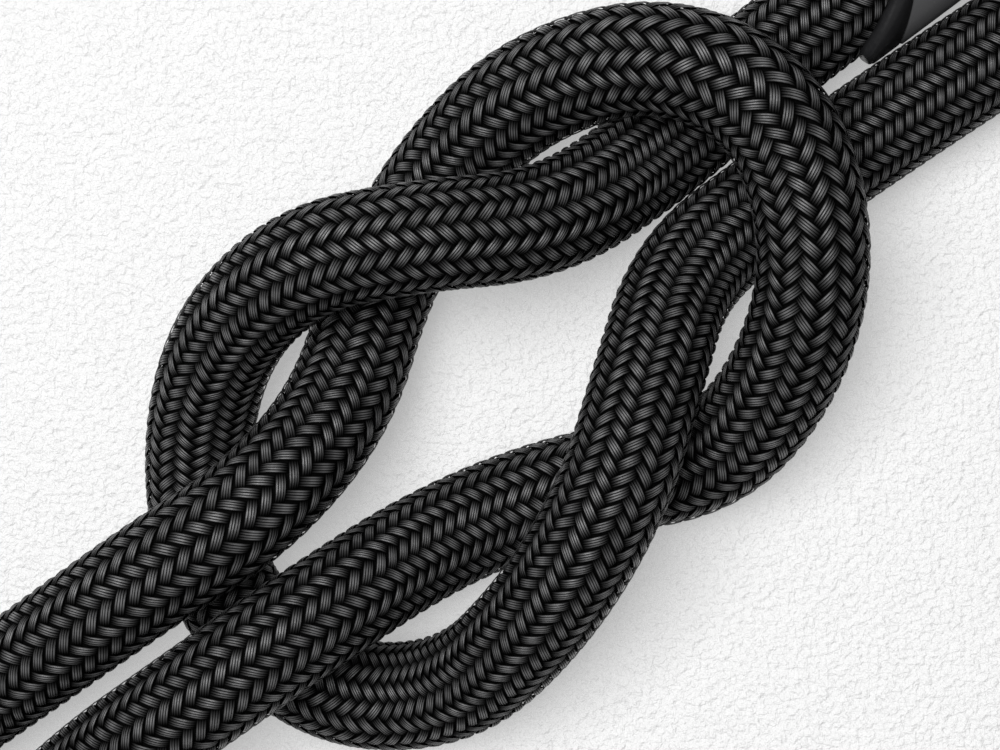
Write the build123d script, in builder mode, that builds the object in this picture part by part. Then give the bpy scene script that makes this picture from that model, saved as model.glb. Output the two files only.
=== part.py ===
from build123d import *
import os
from math import cos, pi, radians, sin, tan

os.makedirs("parts", exist_ok=True)

# A USB-C to USB-A charging cable in a braided nylon sleeve, tied in a loose reef knot.
# Millimetres, +Z up. The cable lies on Z = 0, and the origin is the bottom centre of the whole model.

# ---- Driving dimensions ----------------------------------------------------------------

CABLE_D = 4.1                 # over the braid
CABLE_R = CABLE_D / 2
JACKET_R = 1.6                # the jacket under the braid
JACKET_BORE_R = 1.15
WIRE_R = 0.42                 # one insulated conductor
WIRE_PITCH = 1.0              # conductors in the jacket, two by two

KNOT_X, KNOT_Y = -5.98, 5.62  # the knot's centre, seen from the origin

# The route of each lead, from its plug to the coil, measured from the knot's centre.
LEAD_C_ROUTE = [
    (13.6, 14.55, 3.0), (9.2, 11.25, 3.0), (5.6, 8.1, 2.2), (2.0, 5.6, 5.4), (-2.8, 5.2, 6.9),
    (-7.0, 4.5, 6.3), (-10.3, 1.7, 3.8), (-11.6, -2.8, 2.05), (-10.9, -8.1, 2.05),
    (-6.8, -12.0, 2.05), (-1.6, -11.9, 2.4), (2.2, -8.6, 5.4), (4.5, -4.2, 6.9), (5.6, 0.0, 6.0),
    (6.9, 3.9, 3.4), (10.4, 6.7, 2.05), (15.4, 10.15, 2.05), (20.9, 13.75, 2.05),
    (28.1, 16.1, 2.05), (35.3, 17.9, 2.05), (42.67, 19.47, 2.05),
]
LEAD_A_ROUTE = [
    (-24.0, -15.2, 3.7), (-19.8, -12.3, 3.7), (-15.6, -9.35, 5.9), (-11.8, -6.7, 6.7),
    (-8.5, -4.6, 6.1), (-5.7, -1.1, 3.6), (-4.1, 3.4, 2.05), (-2.1, 7.5, 2.05), (1.3, 10.6, 4.6),
    (6.3, 11.6, 6.9), (10.4, 9.5, 7.1), (11.8, 4.7, 6.9), (10.8, 0.2, 4.6), (7.9, -3.3, 2.05),
    (2.8, -4.6, 2.05), (-2.3, -6.7, 2.8), (-6.8, -9.6, 6.3), (-10.9, -12.5, 6.7),
    (-15.0, -15.4, 4.4), (-19.4, -19.0, 2.05), (-23.6, -27.2, 2.05), (-24.0, -36.3, 2.05),
    (-19.0, -44.6, 2.05), (-10.3, -49.6, 2.05), (0.6, -50.5, 2.05), (12.5, -48.3, 2.05),
    (24.9, -44.6, 2.05), (37.0, -40.0, 2.05), (48.2, -35.5, 3.6), (58.38, -31.13, 6.2),
]
HEADING_C = 36.87             # the USB-C plug points this way in plan, degrees from +X
HEADING_A = 214.63            # the USB-A plug

# The spare length, wound in two layers of turns.
COIL_X, COIL_Y = 48.2, -6.55  # the coil's centre, from the knot's centre
COIL_OUTER_R = 28.2
COIL_INNER_R = 14.6
COIL_H = 8.3
COIL_EDGE_R = 1.9
COIL_CORD_LENGTH = 718.0      # what is wound in the coil

# Strain reliefs, the same on both plugs. Stations run from the cable's end to the plug's tip.
COLLAR_L = 1.0
COLLAR_R = 2.55
COLLAR_BORE_R = 2.1
COLLAR_CHAMFER = 0.35
RELIEF_L = 13.0
RELIEF_R = 2.6
RELIEF_TOP_R = 2.8
RELIEF_FLARE_START = 9.1
FERRULE_START, FERRULE_END = 2.0, 7.0
FERRULE_R = 2.0
JACKET_END = 14.5
WIRE_START = 1.0
MOULD_START, MOULD_END = 14.5, 18.0
WIRE_BEND_START = JACKET_END + 0.4
WIRE_BEND_END = MOULD_END + 0.6
WIRE_BEND_R = 1.2
HOUSING_START = RELIEF_L
HOUSING_EDGE_R = 0.6
END_WALL = 1.0

# USB-C plug.
C_HOUSING_W, C_HOUSING_H, C_HOUSING_L, C_HOUSING_R = 10.4, 6.0, 19.0, 2.9
C_CAVITY_W, C_CAVITY_H, C_CAVITY_R = 9.2, 4.8, 2.3
C_FRONT = HOUSING_START + C_HOUSING_L
C_SHELL_W, C_SHELL_H, C_SHELL_WALL = 8.25, 2.4, 0.25
C_SHELL_R = 1.19              # just short of half the height, so the ends are all but half-round
C_SHELL_INNER_R = 0.94
C_NOSE_L = 6.65
C_TIP = C_FRONT + C_NOSE_L
C_SHELL_START = C_FRONT - 4.0
C_CARRIER_END = C_TIP - 1.05
C_SLOT_H, C_SLOT_L = 0.9, 5.0
C_PIN_W, C_PIN_T, C_PIN_PITCH = 0.25, 0.13, 0.5
C_PIN_L = C_SLOT_L - 0.4
C_UPPER_PINS = (-5.5, -2.5, -1.5, -0.5, 0.5, 3.5, 5.5)   # places in pitches from the middle
C_LOWER_PINS = (-5.5, -2.5, 1.5, 3.5, 5.5)
C_LATCH_IN, C_LATCH_T, C_LATCH_H = 3.3, 0.25, 0.7
C_LATCH_HOOK = 0.25
C_LATCH_START = C_CARRIER_END - C_SLOT_L + 0.05
C_LATCH_END = C_CARRIER_END - 0.3
C_HOOK_STATIONS = (0.4, 0.9, 1.3)   # back from the latch's end: two corners of the hook, then its foot
C_SPRING_L, C_SPRING_W, C_SPRING_T = 0.85, 5.6, 0.12
C_SPRING_MIDDLE = C_CARRIER_END + 0.475
C_BOARD_W, C_BOARD_T, C_BOARD_START = 6.6, 0.6, 18.5
C_CAN_START = MOULD_END + 0.2
C_CAN_H, C_CAN_R, C_CAN_WALL = 4.4, 1.8, 0.2
RESISTOR_L, RESISTOR_W, RESISTOR_H = 1.0, 0.5, 0.35
RESISTOR_STATION = C_BOARD_START + 5.5
WIRE_ON_BOARD_L = 2.0

# USB-A plug.
A_HOUSING_W, A_HOUSING_H, A_HOUSING_L, A_HOUSING_R = 14.4, 7.4, 20.0, 2.4
A_CAVITY_W, A_CAVITY_H, A_CAVITY_R = 12.8, 5.8, 1.6
A_FRONT = HOUSING_START + A_HOUSING_L
A_SHELL_W, A_SHELL_H, A_SHELL_WALL, A_SHELL_R = 12.0, 4.5, 0.3, 0.6
A_NOSE_L = 12.0
A_TIP = A_FRONT + A_NOSE_L
A_SHELL_START = A_FRONT - 6.0
A_TONGUE_TOP = -0.1
A_BLOCK_END = A_FRONT + 0.5
A_CONTACT_W, A_CONTACT_T = 1.0, 0.2
A_CONTACTS = ((-3.5, 1.1), (-1.0, 2.1), (1.0, 2.1), (3.5, 1.1))   # place across, set back from tongue end
A_TONGUE_END = A_TIP - 0.6
A_TAIL_START = A_SHELL_START - 2.0
A_WINDOW_L, A_WINDOW_W, A_WINDOW_ACROSS, A_WINDOW_BACK = 2.0, 2.5, 2.85, 6.2
A_REAR_H, A_REAR_R = 5.2, 1.2
A_WIRE_END = A_SHELL_START - 0.5

# Hook-and-loop tie round the coil.
TIE_ANGLE = 30.0
TIE_W, TIE_T = 9.0, 0.8
TIE_INNER_R, TIE_OUTER_R = 13.3, 29.0
TIE_INSIDE_LOW, TIE_INSIDE_HIGH = 0.8, 9.15
TIE_CORNER_R = 0.9
TAB_T, TAB_L, TAB_GAP = 0.7, 10.5, 0.05
TAB_W = TIE_W - 0.6
TAB_CORNER_R = 3.0


# ---- Helpers -----------------------------------------------------------------------------

def from_knot(point):
    """A point measured from the knot's centre, in the model's own frame."""
    return Vector(point[0] + KNOT_X, point[1] + KNOT_Y, point[2])


def keep(piece, node):
    """Label a finished piece and write it out."""
    piece.part.label = node
    export_step(piece.part, f"parts/{node}.step")


def plug_plane(end, heading):
    """Cross-section plane at a cable end: local X across the plug, Y up, Z towards its tip."""
    along = Vector(cos(radians(heading)), sin(radians(heading)), 0)
    across = Vector(-along.Y, along.X, 0)
    return Plane(origin=end, x_dir=across, z_dir=along)


def lying(plane, height=0.0):
    """The level plane of a plug at a height from its axis: local X towards its tip, Y across."""
    return Plane(origin=plane.origin + Vector(0, 0, height), x_dir=plane.z_dir, z_dir=(0, 0, 1))


def upright(plane):
    """The plug's upright middle plane: local X towards its tip, Y up."""
    return Plane(origin=plane.origin, x_dir=plane.z_dir, z_dir=-plane.x_dir)


def spot(plane, across, up, station):
    """A point of a plug, in the model's frame."""
    return plane.from_local_coords(Vector(across, up, station))


def corner_radii(points):
    """The bend at each inner point of a route: 0.45 of the shorter run over the half turn's tangent."""
    radii = []
    for before, here, after in zip(points, points[1:], points[2:]):
        arriving, leaving = here - before, after - here
        half_turn = radians(arriving.get_angle(leaving)) / 2
        radii.append(0.45 * min(arriving.length, leaving.length) / tan(half_turn))
    return radii


def check_volume(node, solid, length):
    """Print how near a tube's volume is to its section times its length."""
    ratio = solid.volume / (pi * CABLE_R**2 * length)
    print(f"{node}: {length:.1f} mm long, volume over section times length {ratio:.4f}")


# ---- The cable ---------------------------------------------------------------------------

def make_lead(route, node):
    """One uncoiled stretch of the cable: a round tube along straight runs and tangent arcs."""
    points = [from_knot(p) for p in route]
    radii = corner_radii(points)
    with BuildPart() as lead:
        with BuildLine() as path:
            FilletPolyline(*points, radius=radii)
        with BuildSketch(Plane(origin=points[0], z_dir=points[1] - points[0])):
            Circle(CABLE_R)
        sweep(path=path.wires()[0])
    check_volume(node, lead.part, path.wires()[0].length)
    keep(lead, node)
    return path.wires()[0].length


lead_c_length = make_lead(LEAD_C_ROUTE, "cable_lead_c")
lead_a_length = make_lead(LEAD_A_ROUTE, "cable_lead_a")
print(f"cord: {lead_c_length + lead_a_length + COIL_CORD_LENGTH:.0f} mm between the plugs")

coil_centre = from_knot((COIL_X, COIL_Y, 0))
tie_out = Vector(cos(radians(TIE_ANGLE)), sin(radians(TIE_ANGLE)), 0)
tie_plane = Plane(origin=coil_centre, x_dir=tie_out, z_dir=tie_out.cross(Vector(0, 0, 1)))

with BuildPart() as tie_strap:
    with BuildSketch(tie_plane.offset(-TIE_W / 2)):
        with Locations(((TIE_INNER_R + TIE_OUTER_R) / 2, (TIE_INSIDE_LOW + TIE_INSIDE_HIGH) / 2)):
            RectangleRounded(
                TIE_OUTER_R - TIE_INNER_R + 2 * TIE_T,
                TIE_INSIDE_HIGH - TIE_INSIDE_LOW + 2 * TIE_T,
                TIE_CORNER_R + TIE_T,
            )
            RectangleRounded(
                TIE_OUTER_R - TIE_INNER_R, TIE_INSIDE_HIGH - TIE_INSIDE_LOW, TIE_CORNER_R,
                mode=Mode.SUBTRACT,
            )
    extrude(amount=TIE_W)
keep(tie_strap, "tie_strap")

with BuildPart() as cable_coil:
    with BuildSketch(Plane(origin=coil_centre)):
        Circle(COIL_OUTER_R)
        Circle(COIL_INNER_R, mode=Mode.SUBTRACT)
    extrude(amount=COIL_H)
    fillet(cable_coil.edges().filter_by(GeomType.CIRCLE), COIL_EDGE_R)
    with BuildSketch(Plane(origin=coil_centre, x_dir=tie_out, z_dir=(0, 0, 1))):
        with Locations(((COIL_INNER_R + COIL_OUTER_R) / 2, 0)):
            Rectangle(COIL_OUTER_R, TIE_W)
    extrude(amount=TIE_INSIDE_LOW, mode=Mode.SUBTRACT)
keep(cable_coil, "cable_coil")

tab_low = TIE_INSIDE_HIGH + TIE_T + TAB_GAP
tab_root = TIE_OUTER_R - TIE_T
with BuildPart() as tie_hook_tab:
    with BuildSketch(Plane(origin=coil_centre + Vector(0, 0, tab_low), x_dir=tie_out, z_dir=(0, 0, 1))):
        with Locations((tab_root - TAB_L / 2, 0)):
            Rectangle(TAB_L, TAB_W)
    extrude(amount=TAB_T)
    free_end = tie_hook_tab.edges().filter_by(Axis.Z).sort_by_distance(coil_centre)[:2]
    fillet(free_end, TAB_CORNER_R)
keep(tie_hook_tab, "tie_hook_tab")
print("tab hinge", coil_centre + tie_out * tab_root + Vector(0, 0, tab_low))


# ---- Pieces that both plugs have ---------------------------------------------------------

def make_collar(plane, node):
    """The ring that closes the braid off."""
    with BuildPart() as collar:
        with BuildSketch(plane.offset(-COLLAR_L)):
            Circle(COLLAR_R)
            Circle(COLLAR_BORE_R, mode=Mode.SUBTRACT)
        extrude(amount=COLLAR_L)
        mouth = collar.edges().filter_by(GeomType.CIRCLE).group_by(Axis(plane.origin, plane.z_dir))[0]
        chamfer(mouth.sort_by(SortBy.RADIUS)[-1:], COLLAR_CHAMFER)
    keep(collar, node)


def make_relief(plane, node):
    """The moulded strain relief: a barrel with a pocket for the crimp ferrule."""
    with BuildPart() as relief:
        with BuildSketch(upright(plane)):
            with BuildLine():
                Polyline(
                    (0, JACKET_R), (FERRULE_START, JACKET_R), (FERRULE_START, FERRULE_R),
                    (FERRULE_END, FERRULE_R), (FERRULE_END, JACKET_R), (RELIEF_L, JACKET_R),
                    (RELIEF_L, RELIEF_TOP_R), (RELIEF_FLARE_START, RELIEF_R), (0, RELIEF_R), close=True,
                )
            make_face()
        revolve(axis=Axis(plane.origin, plane.z_dir))
    keep(relief, node)


def make_ring(plane, start, end, outer, inner, node):
    """A plain round sleeve on the plug's axis."""
    with BuildPart() as ring:
        with BuildSketch(plane.offset(start)):
            Circle(outer)
            Circle(inner, mode=Mode.SUBTRACT)
        extrude(amount=end - start)
    keep(ring, node)


def make_wire(plane, across, up, far_across, far_up, far_station, node):
    """One insulated conductor, from the jacket out to its solder joint."""
    points = [
        spot(plane, across, up, WIRE_START),
        spot(plane, across, up, WIRE_BEND_START),
        spot(plane, far_across, far_up, WIRE_BEND_END),
        spot(plane, far_across, far_up, far_station),
    ]
    with BuildPart() as wire:
        with BuildLine() as path:
            FilletPolyline(*points, radius=WIRE_BEND_R)
        with BuildSketch(Plane(origin=points[0], z_dir=plane.z_dir)):
            Circle(WIRE_R)
        sweep(path=path.wires()[0])
    keep(wire, node)
    return wire.part


def make_wires(plane, far_spots, far_station, end):
    """The four conductors: power, ground and the data pair."""
    half = WIRE_PITCH / 2
    near_spots = ((-half, half), (-half, -half), (half, -half), (half, half))
    names = ("wire_power", "wire_data_minus", "wire_data_plus", "wire_ground")
    return [
        make_wire(plane, *near, *far, far_station, f"{name}_{end}")
        for name, near, far in zip(names, near_spots, far_spots)
    ]


def make_mould(plane, width, height, corner, wires, node):
    """The inner moulding that grips the fanned-out conductors."""
    with BuildPart() as mould:
        with BuildSketch(plane.offset(MOULD_START)):
            RectangleRounded(width, height, corner)
        extrude(amount=MOULD_END - MOULD_START)
        for wire in wires:
            add(wire, mode=Mode.SUBTRACT)
    keep(mould, node)


def make_housing(plane, outer, cavity, length, nose, node):
    """The outer cover: a hollow sleeve, closed at both ends round the jacket and the nose."""
    with BuildPart() as housing:
        with BuildSketch(plane.offset(HOUSING_START)):
            RectangleRounded(*outer)
        extrude(amount=length)
        ends = housing.faces().sort_by(Axis(plane.origin, plane.z_dir))
        fillet(ends[0].outer_wire().edges() + ends[-1].outer_wire().edges(), HOUSING_EDGE_R)
        with BuildSketch(plane.offset(HOUSING_START + END_WALL)):
            RectangleRounded(*cavity)
        extrude(amount=length - 2 * END_WALL, mode=Mode.SUBTRACT)
        with BuildSketch(plane.offset(HOUSING_START)):
            Circle(JACKET_R)
        extrude(amount=END_WALL, mode=Mode.SUBTRACT)
        with BuildSketch(plane.offset(HOUSING_START + length - END_WALL)):
            RectangleRounded(*nose)
        extrude(amount=END_WALL, mode=Mode.SUBTRACT)
    keep(housing, node)


def make_sleeve(plane, start, end, outer, wall, node):
    """A thin pressed-steel box, open at both ends."""
    width, height, corner = outer
    with BuildPart() as box:
        with BuildSketch(plane.offset(start)):
            RectangleRounded(width, height, corner)
            RectangleRounded(width - 2 * wall, height - 2 * wall, corner - wall, mode=Mode.SUBTRACT)
        extrude(amount=end - start)
    keep(box, node)


def make_end(plane, end):
    """Collar, strain relief, ferrule and jacket end of one plug."""
    make_collar(plane, f"collar_{end}")
    make_relief(plane, f"strain_relief_{end}")
    make_ring(plane, FERRULE_START, FERRULE_END, FERRULE_R, JACKET_R, f"crimp_ferrule_{end}")
    make_ring(plane, 0, JACKET_END, JACKET_R, JACKET_BORE_R, f"inner_jacket_{end}")


# ---- USB-C plug --------------------------------------------------------------------------

plug_c = plug_plane(from_knot(LEAD_C_ROUTE[0]), HEADING_C)
make_end(plug_c, "c")

board_wire_up = C_BOARD_T / 2 + WIRE_R
wires_c = make_wires(
    plug_c,
    ((-1.6, board_wire_up), (-1.6, -board_wire_up), (1.6, -board_wire_up), (1.6, board_wire_up)),
    C_BOARD_START + WIRE_ON_BOARD_L,
    "c",
)
make_mould(plug_c, C_CAVITY_W, C_CAVITY_H, C_CAVITY_R, wires_c, "inner_mould_c")
c_nose = (C_SHELL_W, C_SHELL_H, C_SHELL_R)
make_housing(
    plug_c,
    (C_HOUSING_W, C_HOUSING_H, C_HOUSING_R),
    (C_CAVITY_W, C_CAVITY_H, C_CAVITY_R),
    C_HOUSING_L,
    c_nose,
    "housing_c",
)
make_sleeve(plug_c, C_SHELL_START, C_TIP, c_nose, C_SHELL_WALL, "steel_shell_c")
make_sleeve(
    plug_c, C_CAN_START, C_SHELL_START, (C_SHELL_W, C_CAN_H, C_CAN_R), C_CAN_WALL, "shield_can_c"
)

with BuildPart() as board_c:
    with BuildSketch(lying(plug_c, -C_BOARD_T / 2)):
        with Locations(((C_BOARD_START + C_SHELL_START) / 2, 0)):
            Rectangle(C_SHELL_START - C_BOARD_START, C_BOARD_W)
    extrude(amount=C_BOARD_T)
keep(board_c, "circuit_board_c")

with BuildPart() as resistor_c:
    with BuildSketch(lying(plug_c, C_BOARD_T / 2)):
        with Locations((RESISTOR_STATION, 0)):
            Rectangle(RESISTOR_L, RESISTOR_W)
    extrude(amount=RESISTOR_H)
keep(resistor_c, "pull_up_resistor_c")

with BuildPart() as carrier_c:
    with BuildSketch(plug_c.offset(C_SHELL_START)):
        RectangleRounded(
            C_SHELL_W - 2 * C_SHELL_WALL, C_SHELL_H - 2 * C_SHELL_WALL, C_SHELL_INNER_R
        )
    extrude(amount=C_CARRIER_END - C_SHELL_START)
    with BuildSketch(plug_c.offset(C_CARRIER_END)):
        Rectangle(C_SHELL_W, C_SLOT_H)
    extrude(amount=-C_SLOT_L, mode=Mode.SUBTRACT)
keep(carrier_c, "contact_carrier_c")


def make_pins(places, low, node):
    """A row of contacts in the USB-C mouth."""
    with BuildPart() as pins:
        with BuildSketch(lying(plug_c, low)):
            with Locations([(C_CARRIER_END - C_SLOT_L / 2, p * C_PIN_PITCH) for p in places]):
                Rectangle(C_PIN_L, C_PIN_W)
        extrude(amount=C_PIN_T)
    keep(pins, node)


make_pins(C_UPPER_PINS, C_SLOT_H / 2 - C_PIN_T, "contacts_upper_c")
make_pins(C_LOWER_PINS, -C_SLOT_H / 2, "contacts_lower_c")

hook_front, hook_back, hook_foot = [C_LATCH_END - back for back in C_HOOK_STATIONS]
for side, node in ((1, "latch_left_c"), (-1, "latch_right_c")):
    inner, outer = side * C_LATCH_IN, side * (C_LATCH_IN + C_LATCH_T)
    hook = side * (C_LATCH_IN - C_LATCH_HOOK)
    with BuildPart() as latch:
        with BuildSketch(lying(plug_c, -C_LATCH_H / 2)):
            with BuildLine():
                Polyline(
                    (C_LATCH_START, outer), (C_LATCH_END, outer), (C_LATCH_END, inner),
                    (hook_front, hook), (hook_back, hook), (hook_foot, inner),
                    (C_LATCH_START, inner), close=True,
                )
            make_face()
        extrude(amount=C_LATCH_H)
    keep(latch, node)
    print(node, "pivot", spot(plug_c, (inner + outer) / 2, 0, C_LATCH_START))

spring_top = C_SHELL_H / 2 - C_SHELL_WALL
with BuildPart() as ground_springs_c:
    for low in (spring_top - C_SPRING_T, -spring_top):
        with BuildSketch(lying(plug_c, low)):
            with Locations((C_SPRING_MIDDLE, 0)):
                Rectangle(C_SPRING_L, C_SPRING_W)
        extrude(amount=C_SPRING_T)
keep(ground_springs_c, "ground_springs_c")


# ---- USB-A plug --------------------------------------------------------------------------

plug_a = plug_plane(from_knot(LEAD_A_ROUTE[0]), HEADING_A)
make_end(plug_a, "a")

tail_wire_up = A_TONGUE_TOP + A_CONTACT_T + WIRE_R
wires_a = make_wires(
    plug_a, [(across, tail_wire_up) for across, _ in A_CONTACTS], A_WIRE_END, "a"
)
make_mould(plug_a, A_CAVITY_W, A_CAVITY_H, A_CAVITY_R, wires_a, "inner_mould_a")
a_nose = (A_SHELL_W, A_SHELL_H, A_SHELL_R)
make_housing(
    plug_a,
    (A_HOUSING_W, A_HOUSING_H, A_HOUSING_R),
    (A_CAVITY_W, A_CAVITY_H, A_CAVITY_R),
    A_HOUSING_L,
    a_nose,
    "housing_a",
)
make_sleeve(
    plug_a, MOULD_END, A_SHELL_START, (A_SHELL_W, A_REAR_H, A_REAR_R), A_SHELL_WALL, "rear_shell_a"
)

with BuildPart() as steel_shell_a:
    with BuildSketch(plug_a.offset(A_SHELL_START)):
        RectangleRounded(*a_nose)
        RectangleRounded(
            A_SHELL_W - 2 * A_SHELL_WALL, A_SHELL_H - 2 * A_SHELL_WALL, A_SHELL_R - A_SHELL_WALL,
            mode=Mode.SUBTRACT,
        )
    extrude(amount=A_TIP - A_SHELL_START)
    with BuildSketch(lying(plug_a, -A_SHELL_H / 2)):
        with Locations([(A_TIP - A_WINDOW_BACK, side * A_WINDOW_ACROSS) for side in (-1, 1)]):
            Rectangle(A_WINDOW_L, A_WINDOW_W)
    extrude(amount=A_SHELL_H, mode=Mode.SUBTRACT)
keep(steel_shell_a, "steel_shell_a")


def contact_bars(setback_from):
    """Outlines of the four USB-A contacts, from their solder tails to the tongue's end."""
    for across, setback in A_CONTACTS:
        end = setback_from - setback
        with Locations(((A_TAIL_START + end) / 2, across)):
            Rectangle(end - A_TAIL_START, A_CONTACT_W)


with BuildPart() as contacts_a:
    with BuildSketch(lying(plug_a, A_TONGUE_TOP)):
        contact_bars(A_TONGUE_END)
    extrude(amount=A_CONTACT_T)
keep(contacts_a, "contacts_a")

a_inside_w = A_SHELL_W - 2 * A_SHELL_WALL
a_inside_h = A_SHELL_H - 2 * A_SHELL_WALL
with BuildPart() as carrier_a:
    with BuildSketch(plug_a.offset(A_SHELL_START)):
        RectangleRounded(a_inside_w, a_inside_h, A_SHELL_R - A_SHELL_WALL)
    extrude(amount=A_TONGUE_END - A_SHELL_START)
    with BuildSketch(lying(plug_a, A_TONGUE_TOP)):
        with Locations(((A_BLOCK_END + A_TIP) / 2, 0)):
            Rectangle(A_TIP - A_BLOCK_END, A_SHELL_W)
    extrude(amount=A_SHELL_H, mode=Mode.SUBTRACT)
    add(contacts_a.part, mode=Mode.SUBTRACT)
keep(carrier_a, "contact_carrier_a")
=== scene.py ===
import math

import bpy
import numpy as np
from mathutils import Matrix, Vector


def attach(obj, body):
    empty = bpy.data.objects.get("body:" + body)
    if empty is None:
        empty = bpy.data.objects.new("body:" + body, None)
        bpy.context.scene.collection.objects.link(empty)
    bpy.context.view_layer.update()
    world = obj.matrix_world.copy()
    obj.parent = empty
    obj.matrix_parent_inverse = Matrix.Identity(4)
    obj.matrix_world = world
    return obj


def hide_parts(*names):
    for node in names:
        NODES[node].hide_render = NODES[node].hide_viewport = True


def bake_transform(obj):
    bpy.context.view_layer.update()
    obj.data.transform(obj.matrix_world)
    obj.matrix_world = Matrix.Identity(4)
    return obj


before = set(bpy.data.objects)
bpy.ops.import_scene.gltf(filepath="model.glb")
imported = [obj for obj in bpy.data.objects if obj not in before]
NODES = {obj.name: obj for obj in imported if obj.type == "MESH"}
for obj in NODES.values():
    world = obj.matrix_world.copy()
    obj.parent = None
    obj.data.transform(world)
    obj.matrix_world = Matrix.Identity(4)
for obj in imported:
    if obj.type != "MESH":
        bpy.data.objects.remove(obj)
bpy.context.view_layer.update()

# The charging cable: a braided cord in a loose reef knot, its plugs, and the coil of its spare length.
# Metres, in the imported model's frame.

# ---- Driving dimensions --------------------------------------------------------------------

CABLE_D = 0.0041
CABLE_R = CABLE_D / 2
KNOT = Vector((-0.00598, 0.00562, 0))      # the knot's centre
LINE_STEPS = 32                            # points of its line for each control point

# The route of each lead, from its plug to the coil, measured from the knot's centre.
LEAD_C_ROUTE = [
    (0.0136, 0.01455, 0.003), (0.0092, 0.01125, 0.003), (0.0056, 0.0081, 0.0022),
    (0.002, 0.0056, 0.0054), (-0.0028, 0.0052, 0.0069), (-0.0069, 0.0044, 0.0063),
    (-0.0102, 0.0016, 0.0038), (-0.0116, -0.0028, 0.00205), (-0.0109, -0.0081, 0.00205),
    (-0.0068, -0.01215, 0.00205), (-0.0016, -0.01208, 0.0024), (0.00192, -0.00842, 0.0054),
    (0.0044, -0.0042, 0.0069), (0.0056, 0.0, 0.006), (0.00675, 0.00395, 0.0034), (0.0104, 0.0067, 0.00205),
    (0.0154, 0.01015, 0.00205), (0.0209, 0.01375, 0.00205), (0.0281, 0.0161, 0.00205),
    (0.0353, 0.0179, 0.00205), (0.04267, 0.01947, 0.00205),
]
LEAD_A_ROUTE = [
    (-0.024, -0.0152, 0.0037), (-0.0198, -0.0123, 0.0037), (-0.0156, -0.00935, 0.0059),
    (-0.0118, -0.0067, 0.0067), (-0.0085, -0.0046, 0.0061), (-0.0057, -0.0011, 0.0036),
    (-0.00455, 0.0034, 0.00205), (-0.00225, 0.00755, 0.00205), (0.00125, 0.0107, 0.0046),
    (0.0063, 0.0119, 0.0069), (0.0104, 0.00968, 0.0071), (0.0118, 0.0047, 0.0069),
    (0.0107, 0.0001, 0.0046), (0.008, -0.0033, 0.00205), (0.0028, -0.00405, 0.00205),
    (-0.0023, -0.006, 0.0028), (-0.007, -0.00895, 0.0063), (-0.0111, -0.01185, 0.0067),
    (-0.0152, -0.0148, 0.0044), (-0.0194, -0.0188, 0.00205), (-0.0236, -0.0272, 0.00205),
    (-0.024, -0.0363, 0.00205), (-0.019, -0.0446, 0.00205), (-0.0103, -0.0496, 0.00205),
    (0.0006, -0.0505, 0.00205), (0.0125, -0.0483, 0.00205), (0.0249, -0.0446, 0.00205),
    (0.037, -0.04, 0.00205), (0.0482, -0.0355, 0.0036), (0.05838, -0.03113, 0.0062),
]

# The coil: turns spiral in on the lower layer, climb, and spiral out on the upper one.
COIL = Vector((0.0482, -0.00655, 0))       # its centre, from the knot's centre
COIL_START_ANGLE = 102.0                   # where lead C joins it, degrees
COIL_SWEEP = 1969.5                        # degrees of turning, clockwise from above
COIL_STEPS = 88
COIL_OUTER_R = 0.0266
TURN_GAP = 0.00415                         # from one turn to the next
LAYER_LOW, LAYER_HIGH = 0.00205, 0.0062
CLIMB_SWEEP = 90.0

# The tie round the coil.
TIE_ANGLE = 30.0
TIE_W, TIE_T = 0.009, 0.0008
TIE_LIFT_SWEEP = 50.0
CORDS_INNER_R, CORDS_OUTER_R = 0.0173, 0.0256      # the cords inside the tie, from the coil's centre
CORDS_LOW, CORDS_HIGH = 0.00285, 0.007
TAB_W, TAB_T = 0.0084, 0.0007
TAB_GAP = 0.00003
TAB_SEWN_Z = 0.0042                        # where the tab starts, on the strap's outer side
TAB_END_R = 0.0177
TAB_CORNER_R = 0.003
TAB_ROUNDING = 0.98                        # 1 would round the end's corners to full quarter circles
STRAP_CORNER_STEPS, STRAP_FLAT_STEPS, STRAP_SIDE_STEPS = 14, 24, 12
TAB_RISE_STEPS, TAB_BEND_STEPS, TAB_TOP_STEPS = 10, 24, 40
NAP = 0.012                                # unevenness of the webbing, as a share of its thickness
NAP_SEED = 11

# The braid: strands that cross over two and under two.
STRANDS = 18                               # each way
STRAND_T = 0.00014
STRAND_DOME = 0.00004
FLOAT_REACH = 0.78                         # half a float, in strand spacings round the cable
FLOAT_FILL = 0.78                          # a float's width as a share of the spacing
FLOAT_TOP = 0.2                            # half of its level top, and how far it takes to sink past it
FLOAT_SINK = 0.55
FLOAT_OFFSET = 0.25                        # each way's floats lie this far off the plain crossing grid
FILAMENTS = 4                              # side by side in a strand
FILAMENT_WANDER = 0.10                     # how far they stray sideways, as a share of its width
FILAMENT_DEPTH = 0.00003
FIBRE_SHARE = 0.4                          # the height of their fine fibres, as a share of their own
# The braid's colours: painted shade for its gaps and valleys, and a painted highlight for its lit filament
# crests.
GAP_SHADE_COLOR, LIT_COLOR = (0.001, 0.001, 0.001, 1), (0.125, 0.125, 0.127, 1)
TONE_SEED = 7
PITCH_SAMPLES = 4001
CORE_R = CABLE_R - 1.2 * STRAND_T          # the dark tube under the strands
CORE_STEP = 0.0005
CORE_AROUND = 24
# The spacing along the cable between strands of one way, in cable diameters. Bends and pulls change
# it from place to place: each pair is a share of the cord's length from the USB-C plug, and the spacing.
STRAND_PITCHES = [
    (0.0, 0.109), (0.018, 0.134), (0.045, 0.130), (0.062, 0.121), (0.08, 0.106), (0.12, 0.118),
    (0.86, 0.118), (0.918, 0.130), (0.94, 0.152), (0.955, 0.161), (0.975, 0.148), (1.0, 0.148),
]
FINE_END_C = 0.100                         # the fine braid reaches this far from each plug
FINE_END_A = 0.135

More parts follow.
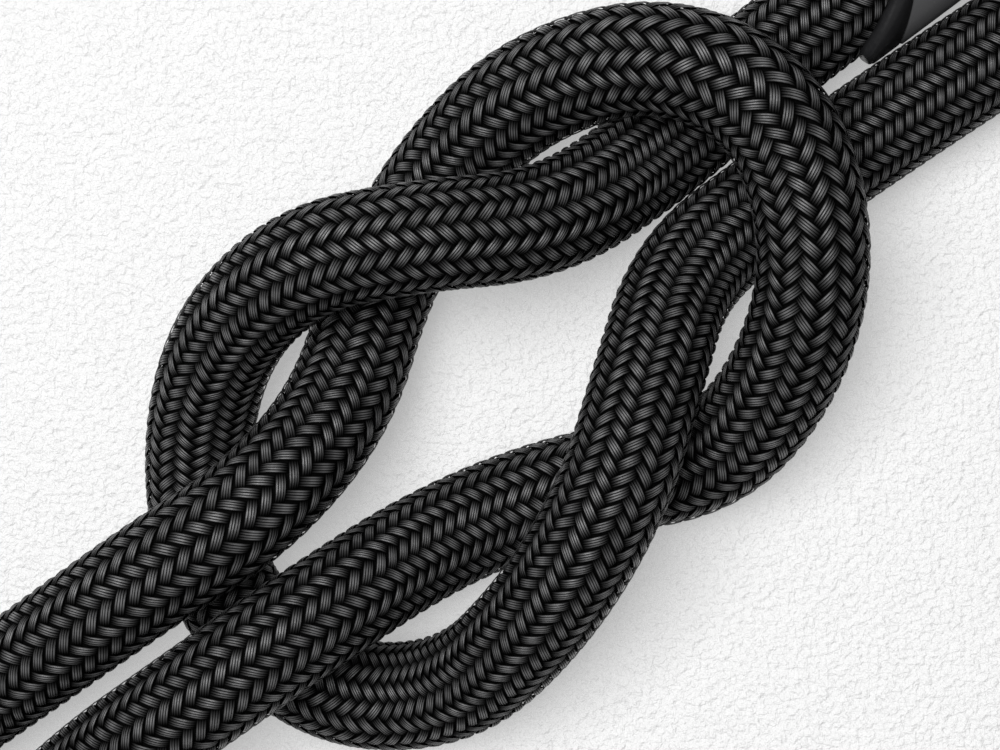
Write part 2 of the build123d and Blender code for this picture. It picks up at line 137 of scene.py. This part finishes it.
# The plugs' collars and barrels: stations run from the cable's end to the plug's tip.
COLLAR_R, BARREL_R, BARREL_END_R = 0.00255, 0.0026, 0.0028
COLLAR_BORE_R = 0.0021
BARREL_FLARE, BARREL_END = 0.0091, 0.013
SLEEVE_EDGE = 0.00025                      # the collar's rounded edge, and its middle point
SLEEVE_EDGE_MIDDLE = 0.3 * SLEEVE_EDGE
BARREL_EDGE = 0.4 * SLEEVE_EDGE
SLEEVE_GAP = 0.00004
# Each mouth is level in the middle and curves back at the sides: the top of its curve, how sharply
# that bends, per metre, and where it is level.
COLLAR_MOUTH_TOP, COLLAR_MOUTH_BEND, COLLAR_MOUTH_LEVEL = 0.00075, 500.0, 0.0
COLLAR_TONGUE = 0.0019                     # how far the collar's sides reach along the cable
BARREL_MOUTH_TOP, BARREL_MOUTH_BEND, BARREL_MOUTH_LEVEL = 0.00143, 300.0, 0.0008

# The camera, over the knot.
CAMERA_DISTANCE = 0.110
CAMERA_TILT = 5.0
CAMERA_AZIMUTH = 35.0
CAMERA_AIM_Z = 0.002
VIEW_WIDTH = 0.03745
SENSOR = 36.0

# The floor and the light, whose place is measured from the knot's centre.
FLOOR_HALF = 1.5
FLOOR_GLOW = 0.41                          # the floor gives some light itself, so its shadows stay pale
FLOOR_GRAIN, FLOOR_GRAIN_DEPTH = 3600.0, 0.0004
KEY_PLACE, KEY_SIZE, KEY_POWER = (-0.05, 0.055, 0.27), 0.16, 0.98
WORLD_STRENGTH = 0.2


# ---- Objects -------------------------------------------------------------------------------

def put(name, data):
    """A new object in the scene."""
    made = bpy.data.objects.new(name, data)
    bpy.context.scene.collection.objects.link(made)
    return made


# ---- The camera ----------------------------------------------------------------------------

def make_camera():
    """A camera nearly straight above the knot, with +Y up in the picture."""
    tilt, azimuth = math.radians(CAMERA_TILT), math.radians(CAMERA_AZIMUTH)
    back = Vector((math.sin(tilt) * math.cos(azimuth), math.sin(tilt) * math.sin(azimuth), math.cos(tilt)))
    right = Vector((0, 1, 0)).cross(back).normalized()
    up = back.cross(right)
    data = bpy.data.cameras.new("camera")
    data.sensor_width = SENSOR
    data.lens = SENSOR * CAMERA_DISTANCE / VIEW_WIDTH
    data.clip_start = 0.01
    camera = put("camera", data)
    turn = Matrix((right, up, back)).transposed().to_4x4()
    target = KNOT + Vector((0, 0, CAMERA_AIM_Z))
    camera.matrix_world = Matrix.Translation(target + back * CAMERA_DISTANCE) @ turn
    bpy.context.scene.camera = camera


make_camera()


# ---- The cord's line -----------------------------------------------------------------------

def smooth(x):
    """0 to 1 with flat ends, for a number or an array."""
    x = np.clip(x, 0.0, 1.0)
    return x * x * (3 - 2 * x)


def coil_point(turned):
    """A point of the coil after turning this many degrees from where lead C joins it."""
    half = COIL_SWEEP / 2
    inner_r = COIL_OUTER_R - TURN_GAP * half / 360
    radius = inner_r + TURN_GAP * abs(turned - half) / 360
    angle = COIL_START_ANGLE - turned
    climbed = smooth((turned - half) / CLIMB_SWEEP + 0.5)
    height = LAYER_LOW + (LAYER_HIGH - LAYER_LOW) * climbed
    from_tie = abs((angle - TIE_ANGLE + 180) % 360 - 180)
    if from_tie < TIE_LIFT_SWEEP:
        height += TIE_T * (0.5 + 0.5 * math.cos(math.pi * from_tie / TIE_LIFT_SWEEP))
    half_step = math.radians(COIL_SWEEP / COIL_STEPS) / 2
    control_r = radius / math.cos(half_step)
    a = math.radians(angle)
    return (COIL.x + control_r * math.cos(a), COIL.y + control_r * math.sin(a), height)


def cord_points():
    """The spline's control points, from the USB-C plug through the coil to the USB-A plug."""
    turns = [coil_point(COIL_SWEEP * k / COIL_STEPS) for k in range(1, COIL_STEPS)]
    return [KNOT + Vector(p) for p in LEAD_C_ROUTE + turns + LEAD_A_ROUTE[::-1]]


def spline_line(points, resolution):
    """Points along the smooth spline that has these control points."""
    curve = bpy.data.curves.new("cord_line", "CURVE")
    curve.dimensions = "3D"
    curve.resolution_u = resolution
    spline = curve.splines.new("NURBS")
    spline.points.add(len(points) - 1)
    for control, p in zip(spline.points, points):
        control.co = (p.x, p.y, p.z, 1)
    spline.order_u = 3
    spline.use_endpoint_u = True
    holder = bpy.data.objects.new("cord_line", curve)
    mesh = bpy.data.meshes.new_from_object(holder)
    line = np.array([v.co[:] for v in mesh.vertices], float)
    bpy.data.objects.remove(holder)
    bpy.data.curves.remove(curve)
    bpy.data.meshes.remove(mesh)
    return line


class Line:
    """A smooth line with a frame that doesn't twist, looked up by distance along it."""

    def __init__(self, points):
        steps = np.linalg.norm(np.diff(points, axis=0), axis=1)
        keep = np.concatenate([[True], steps > 1e-7])
        self.points = points[keep]
        self.at = np.concatenate([[0], np.cumsum(np.linalg.norm(np.diff(self.points, axis=0), axis=1))])
        self.length = self.at[-1]
        tangents = np.gradient(self.points, self.at, axis=0)
        tangents /= np.linalg.norm(tangents, axis=1)[:, None]
        side = np.cross(tangents[0], (0, 0, 1))
        sides = [side / np.linalg.norm(side)]
        for k in range(1, len(self.points)):
            sides.append(self.carried(k, tangents, sides[-1]))
        self.sides = np.array(sides)
        self.ups = np.cross(self.sides, tangents)

    def carried(self, k, tangents, side):
        """The frame's side at point k, carried from the point before by two reflections."""
        v = self.points[k] - self.points[k - 1]
        c = v @ v
        side_l = side - (2 / c) * (v @ side) * v
        tangent_l = tangents[k - 1] - (2 / c) * (v @ tangents[k - 1]) * v
        w = tangents[k] - tangent_l
        c = w @ w
        moved = side_l if c < 1e-18 else side_l - (2 / c) * (w @ side_l) * w
        moved = moved - (moved @ tangents[k]) * tangents[k]
        return moved / np.linalg.norm(moved)

    def place(self, along, angle, radius):
        """Points at distances along the line, at angles round it and radii from it."""
        centre, side, up = (
            np.stack([np.interp(along, self.at, values[:, i]) for i in range(3)], axis=-1)
            for values in (self.points, self.sides, self.ups)
        )
        out = np.cos(angle)[..., None] * side + np.sin(angle)[..., None] * up
        out /= np.linalg.norm(out, axis=-1)[..., None]
        return centre + radius[..., None] * out


line = Line(spline_line(cord_points(), LINE_STEPS))


# ---- The braid -----------------------------------------------------------------------------

def grid_quads(first, rows, columns):
    """Corner numbers of the quads of grids that start at each number in first."""
    i, j = np.meshgrid(np.arange(rows - 1), np.arange(columns - 1), indexing="ij")
    corner = (i * columns + j).ravel()
    quad = np.stack([corner, corner + columns, corner + columns + 1, corner + 1], axis=-1)
    return (first[:, None, None] + quad[None]).reshape(-1, 4)


def pitch_table():
    """Distances along the line, the strand spacing there, and how many strands have been passed."""
    along = np.linspace(0, line.length, PITCH_SAMPLES)
    share, pitch = zip(*STRAND_PITCHES)
    pitch = np.interp(along / line.length, share, pitch) * CABLE_D
    passed = np.concatenate([[0], np.cumsum(np.diff(along) * 0.5 * (1 / pitch[1:] + 1 / pitch[:-1]))])
    return along, pitch, passed


PITCH_ALONG, PITCH, PASSED = pitch_table()


def float_grids(low, high, lengthways, across):
    """Points and marks of the floats of both hands between two distances along the line."""
    spacing = 2 * math.pi / STRANDS
    mean_r = CABLE_R - STRAND_T
    round_step = spacing * mean_r
    s, w = np.meshgrid(lengthways, across, indexing="ij")
    sunk = smooth((np.abs(s) - FLOAT_TOP) / FLOAT_SINK)
    radius = CABLE_R - STRAND_T * sunk - STRAND_DOME * w * w
    first, last = np.interp([low, high], PITCH_ALONG, PASSED)
    grids, marks = [], []
    for hand, first_column in ((1, FLOAT_OFFSET), (-1, 1 + FLOAT_OFFSET)):
        columns = first_column + 2 * np.arange(STRANDS // 2)
        rows = np.arange(math.ceil(first), math.ceil(last)) + FLOAT_OFFSET * hand
        column, row = (x.ravel()[:, None, None] for x in np.meshgrid(columns, rows, indexing="ij"))
        pitch = np.interp(np.interp(row, PASSED, PITCH_ALONG), PITCH_ALONG, PITCH)
        step = np.hypot(round_step, pitch)
        half_width = 0.5 * FLOAT_FILL * pitch * round_step / step
        angle = column * spacing + (s * round_step - hand * w * half_width * pitch / step) / mean_r
        along = np.interp(row + hand * s, PASSED, PITCH_ALONG) + w * half_width * round_step / step
        along = np.clip(along, 0, line.length)
        grids.append(line.place(along, angle, np.broadcast_to(radius, along.shape)))
        tone = np.random.default_rng(TONE_SEED + hand).random(len(row))
        mark = np.empty(along.shape + (3,))
        mark[..., 0] = s * 0.5 / FLOAT_REACH + 0.5
        mark[..., 1] = w * 0.5 + 0.5
        mark[..., 2] = tone[:, None, None]
        marks.append(mark)
    return np.concatenate(grids), np.concatenate(marks)


def core_grid(low, high, steps, around):
    """The dark tube that shows between the strands, coloured near black as painted shade in the gaps."""
    along, angle = np.meshgrid(
        np.linspace(low, high, steps), np.linspace(0, 2 * math.pi, around + 1), indexing="ij"
    )
    return line.place(along, angle, np.full(along.shape, CORE_R))[None]


def mesh_of(name, vertices, quads, marks, slots, materials):
    """A smooth quad mesh with a mark at each point and a material number at each face."""
    mesh = bpy.data.meshes.new(name)
    mesh.vertices.add(len(vertices))
    mesh.vertices.foreach_set("co", vertices.astype(np.float32).ravel())
    mesh.loops.add(quads.size)
    mesh.loops.foreach_set("vertex_index", quads.astype(np.int32).ravel())
    mesh.polygons.add(len(quads))
    mesh.polygons.foreach_set("loop_start", np.arange(0, quads.size, 4, dtype=np.int32))
    mesh.polygons.foreach_set("material_index", slots.astype(np.int32))
    mesh.polygons.foreach_set("use_smooth", np.ones(len(quads), bool))
    mark = mesh.attributes.new("mark", "FLOAT_VECTOR", "POINT")
    mark.data.foreach_set("vector", marks.astype(np.float32).ravel())
    for material in materials:
        mesh.materials.append(material)
    mesh.update(calc_edges=True)
    mesh.validate()
    return put(name, mesh)


# The points of a float: lengthways in strand spacings, and across in halves of its width.
FINE_LENGTHWAYS = np.array([-FLOAT_REACH, -0.62, -0.45, -0.25, 0, 0.25, 0.45, 0.62, FLOAT_REACH])
FINE_ACROSS = np.array([-1, -0.6, 0, 0.6, 1])
COARSE_LENGTHWAYS = np.array([-0.75, -0.42, 0, 0.42, 0.75])
COARSE_ACROSS = np.array([-1, 0, 1])


def make_cord(materials):
    """The whole cord: fine floats at the knot, coarser ones elsewhere, and the tube under them."""
    fine_a = line.length - FINE_END_A
    stretches = [
        (0, FINE_END_C, FINE_LENGTHWAYS, FINE_ACROSS),
        (FINE_END_C, fine_a, COARSE_LENGTHWAYS, COARSE_ACROSS),
        (fine_a, line.length, FINE_LENGTHWAYS, FINE_ACROSS),
    ]
    vertices, quads, marks, slots, count = [], [], [], [], 0
    for low, high, lengthways, across in stretches:
        grids, mark = float_grids(low, high, lengthways, across)
        size = len(lengthways) * len(across)
        quads.append(grid_quads(count + size * np.arange(len(grids)), len(lengthways), len(across)))
        slots.append(np.zeros(len(quads[-1])))
        vertices.append(grids.reshape(-1, 3))
        marks.append(mark.reshape(-1, 3))
        count += len(vertices[-1])
    steps = int(line.length / CORE_STEP)
    core = core_grid(0, line.length, steps, CORE_AROUND)
    quads.append(grid_quads(np.array([count]), steps, CORE_AROUND + 1))
    slots.append(np.ones(len(quads[-1])))
    vertices.append(core.reshape(-1, 3))
    marks.append(np.zeros_like(vertices[-1]))
    return mesh_of(
        "braided_cord", *(np.concatenate(x) for x in (vertices, quads, marks, slots)), materials
    )


# ---- Materials -----------------------------------------------------------------------------

class Nodes:
    """A material's node tree, with short ways to add to it."""

    def __init__(self, name, color, roughness, metallic=0.0):
        self.material = bpy.data.materials.new(name)
        self.material.use_nodes = True
        self.tree = self.material.node_tree
        self.shader = self.tree.nodes["Principled BSDF"]
        self.shader.inputs["Base Color"].default_value = (*color, 1)
        self.shader.inputs["Roughness"].default_value = roughness
        self.shader.inputs["Metallic"].default_value = metallic

    def add(self, kind, **settings):
        node = self.tree.nodes.new(kind)
        for key, value in settings.items():
            setattr(node, key, value)
        return node

    def link(self, output, target):
        if isinstance(output, (int, float, tuple)):
            target.default_value = output
        else:
            self.tree.links.new(output, target)

    def math(self, operation, a, b=0.0):
        node = self.add("ShaderNodeMath", operation=operation)
        self.link(a, node.inputs[0])
        self.link(b, node.inputs[1])
        return node.outputs[0]

    def ramp(self, value, low, high, to_low=0.0, to_high=1.0):
        node = self.add("ShaderNodeMapRange")
        inputs = {"Value": value, "From Min": low, "From Max": high, "To Min": to_low, "To Max": to_high}
        for key, x in inputs.items():
            self.link(x, node.inputs[key])
        return node.outputs[0]

    def mix(self, share, a, b):
        node = self.add("ShaderNodeMix", data_type="RGBA")
        self.link(share, node.inputs[0])
        self.link(a, node.inputs[6])
        self.link(b, node.inputs[7])
        return node.outputs[2]

    def noise(self, scale, detail=3.0, vector=None, stretch=None):
        node = self.add("ShaderNodeTexNoise")
        node.inputs["Scale"].default_value = scale
        node.inputs["Detail"].default_value = detail
        if vector is None:
            vector = self.add("ShaderNodeTexCoord").outputs["Object"]
        if stretch is not None:
            mapping = self.add("ShaderNodeMapping")
            mapping.inputs["Scale"].default_value = stretch
            self.link(vector, mapping.inputs["Vector"])
            vector = mapping.outputs[0]
        self.link(vector, node.inputs["Vector"])
        return node.outputs["Fac"]

    def bump(self, height, distance, strength=1.0):
        node = self.add("ShaderNodeBump")
        node.inputs["Distance"].default_value = distance
        node.inputs["Strength"].default_value = strength
        self.link(height, node.inputs["Height"])
        self.link(node.outputs[0], self.shader.inputs["Normal"])


def braid_material():
    """Black nylon: each strand is a few round filaments side by side. Its colour holds painted light and
    shade: a painted highlight on each filament's crest, and painted shade in the valleys between them,
    towards the floats' ends and at their sides.
    """
    m = Nodes("braid", (0.014, 0.014, 0.015), 0.42)
    mark = m.add("ShaderNodeAttribute", attribute_name="mark")
    parts = m.add("ShaderNodeSeparateXYZ")
    m.link(mark.outputs["Vector"], parts.inputs[0])
    lengthways, across, tone = parts.outputs
    wander = m.noise(1.0, 2.0, mark.outputs["Vector"], (2.0, 3.0, 40.0))
    shifted = m.math("ADD", across, m.math("MULTIPLY", m.math("SUBTRACT", wander, 0.5), FILAMENT_WANDER))
    phase = m.math("FRACT", m.math("MULTIPLY", shifted, FILAMENTS))
    off = m.math("MULTIPLY", m.math("SUBTRACT", phase, 0.5), 2.0)
    ridge = m.math("SQRT", m.math("SUBTRACT", 1.001, m.math("MULTIPLY", off, off)))
    fibre = m.noise(1.0, 3.0, mark.outputs["Vector"], (3.0, 34.0, 60.0))
    height = m.math("ADD", ridge, m.math("MULTIPLY", fibre, FIBRE_SHARE))
    m.bump(height, FILAMENT_DEPTH)
    from_middle = m.math("ABSOLUTE", m.math("SUBTRACT", lengthways, 0.5))
    from_side = m.math("ABSOLUTE", m.math("SUBTRACT", across, 0.5))
    # Painted light and shade: the filaments' crests are painted light, and the valleys, the floats' ends
    # where they sink under the others, and their sides are painted dark. The random tone is the strands'
    # own.
    lit_and_tone = m.math("MULTIPLY", m.ramp(ridge, 0.55, 1.0), m.ramp(tone, 0.0, 1.0, 0.65, 1.0))
    lit_and_tone = m.math("MULTIPLY", lit_and_tone, m.math("POWER", m.ramp(from_middle, 0.05, 0.36, 1.0, 0.0), 1.8))
    lit_and_tone = m.math("MULTIPLY", lit_and_tone, m.ramp(from_side, 0.36, 0.5, 1.0, 0.2))
    m.link(m.mix(lit_and_tone, GAP_SHADE_COLOR, LIT_COLOR), m.shader.inputs["Base Color"])
    # The specular level is scaled by the same painted light and shade.
    m.link(m.math("MULTIPLY", lit_and_tone, 0.8), m.shader.inputs["Specular IOR Level"])
    m.link(m.ramp(fibre, 0.3, 0.7, 0.34, 0.48), m.shader.inputs["Roughness"])
    return m.material


def core_material():
    """The dark inside of the braid: its near-black colour is painted shade for the gaps between the
    strands.
    """
    m = Nodes("braid_core", GAP_SHADE_COLOR[:3], 0.9)
    m.shader.inputs["Specular IOR Level"].default_value = 0.05
    m.bump(m.noise(9000.0), 0.00002)
    return m.material


cord = make_cord([braid_material(), core_material()])
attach(cord, "cable")
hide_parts("cable_lead_c", "cable_lead_a", "cable_coil")


# ---- The plugs' collars and barrels --------------------------------------------------------

def collar_mouth(u):
    """The collar's mouth, cut back in the middle, by the distance sideways from the axis."""
    return np.clip(COLLAR_MOUTH_TOP - COLLAR_MOUTH_BEND * u * u, -COLLAR_TONGUE, COLLAR_MOUTH_LEVEL)


def barrel_mouth(u):
    """Where the collar ends and the barrel starts."""
    return np.minimum(BARREL_MOUTH_LEVEL, BARREL_MOUTH_TOP - BARREL_MOUTH_BEND * u * u)


def square_cut(station):
    """The same station at every distance sideways."""
    return lambda u: np.full_like(u, station)


def sleeve(name, origin, way, rows, around=96):
    """A closed tube from rows of (station as a function of the distance sideways, radius)."""
    way = np.array(way) / np.linalg.norm(way)
    aside, up = np.array((-way[1], way[0], 0)), np.array((0, 0, 1.0))
    angle = np.linspace(0, 2 * math.pi, around, endpoint=False)[:, None]
    vertices = np.concatenate([
        origin + way * station(COLLAR_R * np.cos(angle))
        + radius * (np.cos(angle) * aside + np.sin(angle) * up)
        for station, radius in rows
    ])
    count = len(rows)
    faces = [
        (i * around + j, (i + 1) % count * around + j,
         (i + 1) % count * around + (j + 1) % around, i * around + (j + 1) % around)
        for i in range(count)
        for j in range(around)
    ]
    mesh = bpy.data.meshes.new(name)
    mesh.from_pydata(vertices.tolist(), [], faces)
    mesh.shade_smooth()
    piece = put(name, mesh)
    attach(piece, "cable")
    return piece


def plug_sleeves(end, origin, way):
    """The collar and the barrel of one plug."""
    collar = sleeve("collar_ring_" + end, origin, way, [
        (collar_mouth, COLLAR_BORE_R),
        (collar_mouth, COLLAR_R - SLEEVE_EDGE),
        (lambda u: collar_mouth(u) + SLEEVE_EDGE_MIDDLE, COLLAR_R - SLEEVE_EDGE_MIDDLE),
        (lambda u: collar_mouth(u) + SLEEVE_EDGE, COLLAR_R),
        (lambda u: barrel_mouth(u) - SLEEVE_GAP, COLLAR_R),
        (lambda u: barrel_mouth(u) - SLEEVE_GAP, COLLAR_BORE_R),
    ])
    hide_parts("collar_" + end)
    barrel = sleeve("barrel_" + end, origin, way, [
        (barrel_mouth, COLLAR_BORE_R),
        (barrel_mouth, BARREL_R - BARREL_EDGE),
        (lambda u: barrel_mouth(u) + BARREL_EDGE, BARREL_R),
        (square_cut(BARREL_FLARE), BARREL_R),
        (square_cut(BARREL_END), BARREL_END_R),
        (square_cut(BARREL_END), COLLAR_BORE_R),
    ])
    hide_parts("strain_relief_" + end)
    return [collar, barrel]


ends = {"c": LEAD_C_ROUTE, "a": LEAD_A_ROUTE}
sleeves = {
    end: plug_sleeves(end, np.array(KNOT + Vector(route[0])), np.array(
        (route[0][0] - route[1][0], route[0][1] - route[1][1], 0.0)
    ))
    for end, route in ends.items()
}


# ---- The tie round the coil ----------------------------------------------------------------

OUT = Vector((math.cos(math.radians(TIE_ANGLE)), math.sin(math.radians(TIE_ANGLE)), 0))
ALONG_CORDS = Vector((-OUT.y, OUT.x, 0))


def tie_point(r, z, w=0.0):
    """A point by its distance out from the coil's centre, its height, and its place across the tie."""
    return KNOT + COIL + OUT * r + ALONG_CORDS * w + Vector((0, 0, z))


def arc(centre, radius, start, stop, steps):
    """Points (r, z) and directions outwards on an arc, in degrees."""
    angles = np.radians(np.linspace(start, stop, steps))
    ways = np.stack([np.cos(angles), np.sin(angles)], axis=-1)
    return list(np.array(centre) + radius * ways), list(ways)


def run(a, b, outwards, steps):
    """Points (r, z) on a straight run, without its ends."""
    shares = np.linspace(0, 1, steps + 2)[1:-1, None]
    return list(np.array(a) + shares * (np.array(b) - np.array(a))), [np.array(outwards)] * steps


def rounded_profile(width, thickness, steps=12, edge=5):
    """(across, outwards) round the cross-section of a flat webbing with soft edges."""
    half, r = width / 2 - thickness / 2, thickness / 2
    flat = [(x, r) for x in np.linspace(-half, half, steps)]
    end = [(half + r * math.sin(t), r * math.cos(t)) for t in np.linspace(0, math.pi, edge)[1:-1]]
    return np.array(flat + end + [(-x, -y) for x, y in flat + end])


def webbing(name, path, ways, width, thickness, closed, widths=None):
    """A flat strip along a path, as one smooth closed mesh."""
    profile = rounded_profile(width, thickness)
    around, count = len(profile), len(path)
    widths = np.ones(count) if widths is None else widths
    nap = np.random.default_rng(NAP_SEED).normal(0, thickness * NAP, (count, around))
    vertices = [
        tie_point(*(p + way * (y + nap[i, j] * np.sign(y))), x * widths[i])
        for i, (p, way) in enumerate(zip(path, ways))
        for j, (x, y) in enumerate(profile)
    ]
    faces = [
        (i * around + j, i * around + (j + 1) % around,
         (i + 1) % count * around + (j + 1) % around, (i + 1) % count * around + j)
        for i in range(count if closed else count - 1)
        for j in range(around)
    ]
    if not closed:
        faces += [tuple(range(around))[::-1], tuple(range((count - 1) * around, count * around))]
    mesh = bpy.data.meshes.new(name)
    mesh.from_pydata(vertices, [], faces)
    mesh.shade_smooth()
    return put(name, mesh)


def strap_path(out):
    """The closed path round the cords, this far out from the outer cords' centres."""
    left, right = CORDS_INNER_R, CORDS_OUTER_R
    corners = [
        ((right, CORDS_LOW), -90), ((right, CORDS_HIGH), 0),
        ((left, CORDS_HIGH), 90), ((left, CORDS_LOW), 180),
    ]
    path, ways = [], []
    for k, (centre, start) in enumerate(corners):
        points, outwards = arc(centre, out, start, start + 90, STRAP_CORNER_STEPS)
        path += points
        ways += outwards
        next_centre, next_start = corners[(k + 1) % 4]
        first = arc(next_centre, out, next_start, next_start, 1)[0][0]
        steps = STRAP_FLAT_STEPS if k % 2 else STRAP_SIDE_STEPS
        points, outwards = run(points[-1], first, ways[-1], steps)
        path += points
        ways += outwards
    return path, ways


def tab_path():
    """From the strap's outer side, up round its corner and in over its top."""
    out = CABLE_R + TIE_T + TAB_GAP + TAB_T / 2
    centre = (CORDS_OUTER_R, CORDS_HIGH)
    bend, bend_ways = arc(centre, out, 0, 90, TAB_BEND_STEPS)
    rise, rise_ways = run((CORDS_OUTER_R + out, TAB_SEWN_Z), bend[0], (1.0, 0.0), TAB_RISE_STEPS)
    top, top_ways = run(bend[-1], (TAB_END_R, CORDS_HIGH + out), (0.0, 1.0), TAB_TOP_STEPS)
    path = rise + bend + top
    past = np.clip(TAB_CORNER_R - (np.array([p[0] for p in path]) - path[-1][0]), 0, TAB_CORNER_R)
    narrower = TAB_CORNER_R - np.sqrt(TAB_CORNER_R ** 2 - TAB_ROUNDING * past ** 2)
    return path, rise_ways + bend_ways + top_ways, 1 - 2 * narrower / TAB_W


def webbing_material(name, color, ribs):
    """Dark nylon webbing: fine ribs across it and a short nap."""
    m = Nodes(name, color, 0.75)
    grain = m.noise(5200.0, 4.0)
    across = m.noise(1.0, 2.0, stretch=ribs)
    m.bump(m.math("ADD", grain, m.math("MULTIPLY", across, 0.7)), 0.00006, 0.8)
    tone = m.ramp(grain, 0.3, 0.7, 0.5, 1.5)
    shade = m.add("ShaderNodeVectorMath", operation="SCALE")
    shade.inputs[0].default_value = color
    m.link(tone, shade.inputs["Scale"])
    m.link(shade.outputs[0], m.shader.inputs["Base Color"])
    return m.material


strap = webbing("tie_webbing", *strap_path(CABLE_R + TIE_T / 2), TIE_W, TIE_T, True)
strap.data.materials.append(webbing_material("tie_strap", (0.02, 0.02, 0.022), (900.0, 900.0, 4200.0)))
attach(strap, "cable")
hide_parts("tie_strap")

path, ways, widths = tab_path()
tab = webbing("tie_hook_webbing", path, ways, TAB_W, TAB_T, False, widths)
tab.data.materials.append(webbing_material("tie_hook", (0.015, 0.015, 0.017), (4200.0, 900.0, 900.0)))
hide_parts("tie_hook_tab")
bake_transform(tab)


# ---- Finishes of the plugs' pieces ---------------------------------------------------------

# Each slot's colour, roughness, metal share, grain per metre, and grain depth in metres.
FINISHES = {
    "collar": ((0.012, 0.012, 0.013), 0.36, 0.0, 6000.0, 0.000006),
    "strain_relief": ((0.06, 0.06, 0.062), 0.33, 0.0, 6000.0, 0.000003),
    "housing": ((0.075, 0.077, 0.082), 0.40, 0.9, 14000.0, 0.000008),
    "steel": ((0.5, 0.51, 0.53), 0.3, 1.0, 1500.0, 0.0000005),
    "crimp": ((0.72, 0.6, 0.35), 0.32, 1.0, 3000.0, 0.000006),
    "jacket": ((0.022, 0.022, 0.022), 0.6, 0.0, 5000.0, 0.00001),
    "inner_mould": ((0.75, 0.75, 0.72), 0.45, 0.0, 2000.0, 0.00001),
    "insulator": ((0.014, 0.014, 0.015), 0.5, 0.0, 6000.0, 0.000006),
    "gold_contact": ((0.83, 0.62, 0.25), 0.22, 1.0, 3000.0, 0.000002),
    "board": ((0.01, 0.11, 0.045), 0.3, 0.0, 3000.0, 0.000004),
    "resistor": ((0.02, 0.02, 0.02), 0.45, 0.0, 4000.0, 0.000004),
    "wire_red": ((0.5, 0.02, 0.02), 0.32, 0.0, 2500.0, 0.000004),
    "wire_black": ((0.02, 0.02, 0.02), 0.32, 0.0, 2500.0, 0.000004),
    "wire_white": ((0.8, 0.8, 0.78), 0.32, 0.0, 2500.0, 0.000004),
    "wire_green": ((0.02, 0.3, 0.06), 0.32, 0.0, 2500.0, 0.000004),
}


def finish_material(slot):
    """The slot's finish, with a very fine grain."""
    color, roughness, metallic, grain, depth = FINISHES[slot]
    m = Nodes("finish_" + slot, color, roughness, metallic)
    fine = m.noise(grain)
    m.bump(fine, depth)
    m.link(m.ramp(fine, 0.3, 0.7, roughness - 0.05, roughness + 0.05), m.shader.inputs["Roughness"])
    return m.material


finishes = {slot: finish_material(slot) for slot in FINISHES}
for name in sorted(NODES):
    piece = NODES[name]
    slot = piece.data.materials[0].name
    if slot in finishes:
        piece.data.materials[0] = finishes[slot]
for collar, barrel in sleeves.values():
    collar.data.materials.append(finishes["collar"])
    barrel.data.materials.append(finishes["strain_relief"])


# ---- Floor and light -----------------------------------------------------------------------

def make_floor():
    """A pale, finely grained surface."""
    corners = [(FLOOR_HALF * x, FLOOR_HALF * y, 0) for x, y in ((-1, -1), (1, -1), (1, 1), (-1, 1))]
    mesh = bpy.data.meshes.new("floor")
    mesh.from_pydata(corners, [], [(0, 1, 2, 3)])
    floor = put("floor", mesh)
    m = Nodes("floor", (0.5, 0.5, 0.5), 0.6)
    m.shader.inputs["Emission Color"].default_value = (1, 1, 1, 1)
    m.shader.inputs["Emission Strength"].default_value = FLOOR_GLOW
    m.bump(m.noise(FLOOR_GRAIN, 4.0), FLOOR_GRAIN_DEPTH)
    mesh.materials.append(m.material)


def make_light(name, place, size, power):
    """A square soft light that faces the knot."""
    data = bpy.data.lights.new(name, "AREA")
    data.size = size
    data.energy = power
    light = put(name, data)
    light.location = KNOT + Vector(place)
    light.rotation_mode = "QUATERNION"
    light.rotation_quaternion = (light.location - KNOT).to_track_quat("Z", "Y")


make_floor()
make_light("key", KEY_PLACE, KEY_SIZE, KEY_POWER)
world = bpy.data.worlds.new("world")
bpy.context.scene.world = world
world.use_nodes = True
world.node_tree.nodes["Background"].inputs["Color"].default_value = (1, 1, 1, 1)
world.node_tree.nodes["Background"].inputs["Strength"].default_value = WORLD_STRENGTH
bpy.context.scene.view_settings.view_transform = "Standard"
